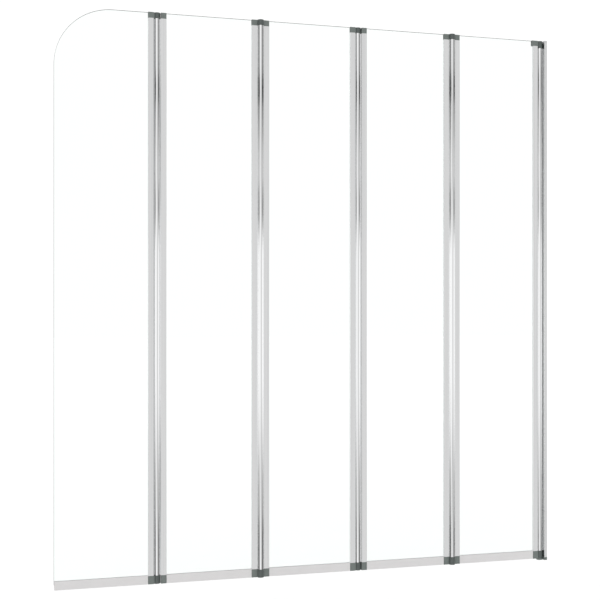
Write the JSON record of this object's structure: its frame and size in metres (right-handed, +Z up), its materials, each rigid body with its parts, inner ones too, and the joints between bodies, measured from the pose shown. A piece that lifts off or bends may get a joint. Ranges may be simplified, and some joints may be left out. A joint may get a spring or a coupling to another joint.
{
  "type": "folding bath screen",
  "caption": "Clear glass bath screen of narrow panels on full-height barrel hinges that folds flat against its wall profile like a concertina.",
  "frame": {"origin": "on the wall, midway along the vertical line of wall screws, in the middle of the glass thickness", "axes": "+X into the wall, +Y to the back of the screen, away from the viewer, +Z up"},
  "size_m": [1.3, 0.0248, 1.4],
  "materials": {
    "glass": "clear polished",
    "profile": "bright polished anodised",
    "channel": "mill finish",
    "dark_cap": "glossy moulded",
    "light_cap": "satin moulded",
    "bush": "natural acetal",
    "gasket": "soft, translucent grey",
    "seal": "soft, satin light grey",
    "steel": "stainless"
  },
  "bodies": {
    "wall": {"wall_channel": "channel", "wall_profile": "profile", "wall_top_cap": "light_cap", "wall_foot": "dark_cap", "wall_bushes": "bush", "wall_grub_screws": "steel"},
    "panel_1": {"glass_1": "glass", "hinge_flange_1": "profile", "eye_caps_1": "dark_cap", "hinge_pins_1": "steel", "gaskets_1": "gasket", "bottom_seal_1": "seal", "hinge_tube_1": "profile", "tube_caps_1": "dark_cap", "bushes_1": "bush"},
    "panel_2": {"glass_2": "glass", "hinge_flange_2": "profile", "eye_caps_2": "dark_cap", "hinge_pins_2": "steel", "gaskets_2": "gasket", "bottom_seal_2": "seal", "hinge_tube_2": "profile", "tube_caps_2": "dark_cap", "bushes_2": "bush"},
    "panel_3": {"glass_3": "glass", "hinge_flange_3": "profile", "eye_caps_3": "dark_cap", "hinge_pins_3": "steel", "gaskets_3": "gasket", "bottom_seal_3": "seal", "hinge_tube_3": "profile", "tube_caps_3": "dark_cap", "bushes_3": "bush"},
    "panel_4": {"glass_4": "glass", "hinge_flange_4": "profile", "eye_caps_4": "dark_cap", "hinge_pins_4": "steel", "gaskets_4": "gasket", "bottom_seal_4": "seal", "hinge_tube_4": "profile", "tube_caps_4": "dark_cap", "bushes_4": "bush"},
    "panel_5": {"glass_5": "glass", "hinge_flange_5": "profile", "eye_caps_5": "dark_cap", "hinge_pins_5": "steel", "gaskets_5": "gasket", "bottom_seal_5": "seal"}
  },
  "joints": [
    {"name": "wall_hinge", "type": "hinge", "parent": "wall", "child": "panel_1", "pos_m": [-0.017, 0.0042, 0], "axis": [0, 0, 1], "range_deg": [-90, 0]},
    {"name": "fold_hinge_1", "type": "hinge", "parent": "panel_1", "child": "panel_2", "pos_m": [-0.276, -0.0042, 0], "axis": [0, 0, 1], "range_deg": [0, 180]},
    {"name": "fold_hinge_2", "type": "hinge", "parent": "panel_2", "child": "panel_3", "pos_m": [-0.535, 0.0042, 0], "axis": [0, 0, 1], "range_deg": [-180, 0]},
    {"name": "fold_hinge_3", "type": "hinge", "parent": "panel_3", "child": "panel_4", "pos_m": [-0.794, -0.0042, 0], "axis": [0, 0, 1], "range_deg": [0, 180]},
    {"name": "fold_hinge_4", "type": "hinge", "parent": "panel_4", "child": "panel_5", "pos_m": [-1.053, 0.0042, 0], "axis": [0, 0, 1], "range_deg": [-180, 0]}
  ],
  "couplings": [
    {"joint": "fold_hinge_1", "follows": "fold_hinge_2", "ratio": -1},
    {"joint": "fold_hinge_3", "follows": "fold_hinge_2", "ratio": -1},
    {"joint": "fold_hinge_4", "follows": "fold_hinge_2", "ratio": 1}
  ]
}
